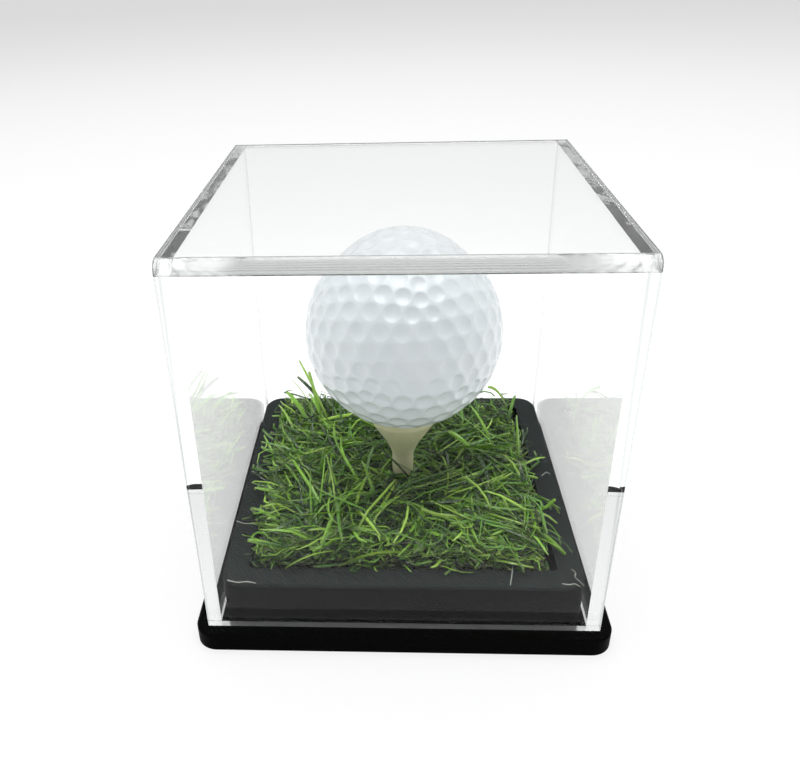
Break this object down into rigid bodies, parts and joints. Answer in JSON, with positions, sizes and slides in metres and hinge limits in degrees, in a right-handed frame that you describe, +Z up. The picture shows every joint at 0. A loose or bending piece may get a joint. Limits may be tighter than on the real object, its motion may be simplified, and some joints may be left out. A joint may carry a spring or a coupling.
{
  "type": "golf ball display case",
  "caption": "Clear cube cover that lifts off a black printed base holding artificial turf, a short tee and a dimpled golf ball.",
  "frame": {"origin": "centre of the base's underside, on the surface that the case stands on", "axes": "+Z up, -Y is the front that the picture shows, +X to the right seen from the front"},
  "size_m": [0.0854, 0.0854, 0.084],
  "materials": {
    "base_print": "black 3D-printed plastic with fine layer lines",
    "turf_backing": "black woven turf backing",
    "turf_thatch": "pale curled thatch yarn",
    "turf_pile": "green pile yarn, mixed shades, slight sheen",
    "tee": "cream moulded plastic, satin",
    "golf_ball": "white clear-coated ball cover",
    "cover_sheet": "clear cast acrylic, polished"
  },
  "bodies": {
    "base": {"base": "base_print", "turf_backing": "turf_backing", "turf_thatch": "turf_thatch", "turf_pile": "turf_pile"},
    "tee": {"tee": "tee"},
    "ball": {"golf_ball": "golf_ball"},
    "cover": {"cover_top_panel": "cover_sheet", "cover_front_panel": "cover_sheet", "cover_back_panel": "cover_sheet", "cover_left_panel": "cover_sheet", "cover_right_panel": "cover_sheet"}
  },
  "joints": [
    {"name": "cover_lift", "type": "slide", "parent": "base", "child": "cover", "axis": [0, 0, 1], "range_m": [0, 0.09]},
    {"name": "tee_turn", "type": "hinge", "parent": "base", "child": "tee", "pos_m": [0.0006, 0, 0.0136], "axis": [0, 0, 1], "continuous": true},
    {"name": "ball_lift", "type": "slide", "parent": "tee", "child": "ball", "axis": [0, 0, 1], "range_m": [0, 0.0065]}
  ]
}
